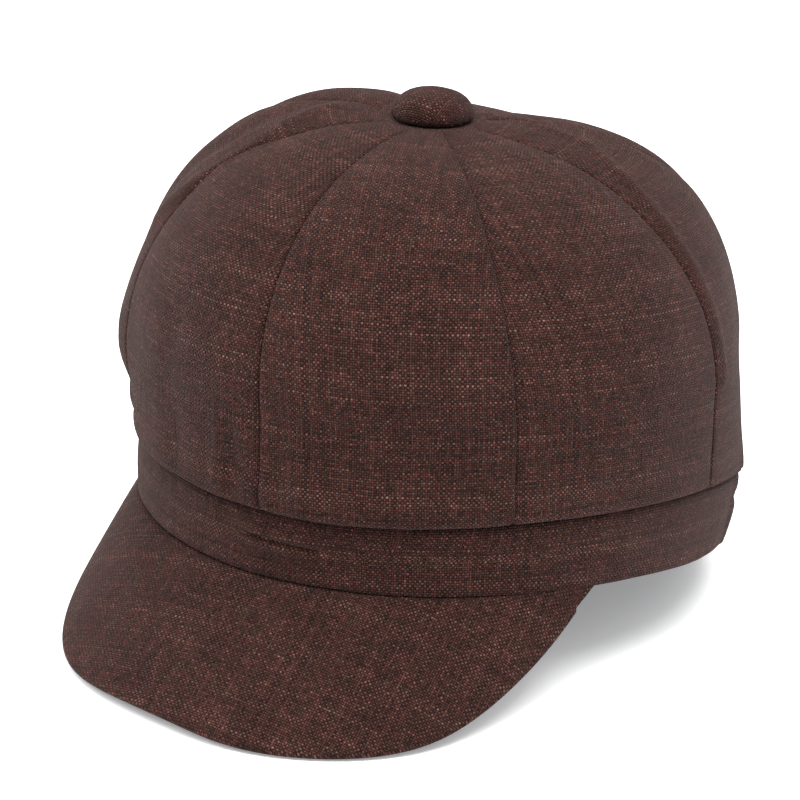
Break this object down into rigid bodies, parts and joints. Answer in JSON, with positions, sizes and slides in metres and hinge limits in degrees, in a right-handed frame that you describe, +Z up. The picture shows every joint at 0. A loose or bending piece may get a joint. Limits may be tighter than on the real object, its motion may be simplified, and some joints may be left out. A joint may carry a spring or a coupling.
{
  "type": "newsboy cap",
  "caption": "Soft newsboy cap: gored crown with a covered button, a head band with an elastic back, and a stiff curved visor sewn to its front.",
  "frame": {"origin": "on the table under the middle of the cap's bounding box, the cap resting on its visor's side corners and the back of its band", "axes": "+Z up, -Y towards the wearer's front (the visor), +X towards the wearer's left"},
  "size_m": [0.1842, 0.2366, 0.1564],
  "materials": {
    "cap_cloth": "heathered dark brown plain-weave linen and wool cloth, matt, slubbed",
    "lining_satin": "dark brown satin, smooth",
    "interlining": "stiff non-woven interlining",
    "elastic": "ribbed knitted elastic",
    "sweatband_cloth": "ribbed grosgrain tape, matt",
    "label_tape": "blank woven tape",
    "thread": "twisted sewing thread",
    "visor_board": "moulded polyethylene sheet",
    "button_metal": "pressed sheet, plain"
  },
  "bodies": {
    "cap": {"crown_panel_front_left": "cap_cloth", "crown_panel_front_right": "cap_cloth", "crown_panel_side_front_left": "cap_cloth", "crown_panel_side_front_right": "cap_cloth", "crown_panel_side_back_left": "cap_cloth", "crown_panel_side_back_right": "cap_cloth", "crown_panel_back_left": "cap_cloth", "crown_panel_back_right": "cap_cloth", "lining_panel_front_left": "lining_satin", "lining_panel_front_right": "lining_satin", "lining_panel_side_front_left": "lining_satin", "lining_panel_side_front_right": "lining_satin", "lining_panel_side_back_left": "lining_satin", "lining_panel_side_back_right": "lining_satin", "lining_panel_back_left": "lining_satin", "lining_panel_back_right": "lining_satin", "band_outer": "cap_cloth", "band_interlining": "interlining", "back_elastic": "elastic", "sweatband": "sweatband_cloth", "size_label": "label_tape", "button_thread": "thread"},
    "visor": {"visor_board": "visor_board", "visor_top_cover": "cap_cloth", "visor_under_cover": "cap_cloth"},
    "button": {"button_cover": "cap_cloth", "button_shell": "button_metal", "button_back": "button_metal", "button_shank": "button_metal"}
  },
  "joints": [
    {"name": "visor_tilt", "type": "hinge", "parent": "cap", "child": "visor", "pos_m": [0, -0.02985, 0.02991], "axis": [-1, 0, 0], "range_deg": [-8, 8], "stiffness_Nm_per_rad": 3.2},
    {"name": "button_turn", "type": "hinge", "parent": "cap", "child": "button", "pos_m": [0, 0.00555, 0.1477], "axis": [0, 0, 1], "range_deg": [-25, 25], "stiffness_Nm_per_rad": 0.002}
  ]
}
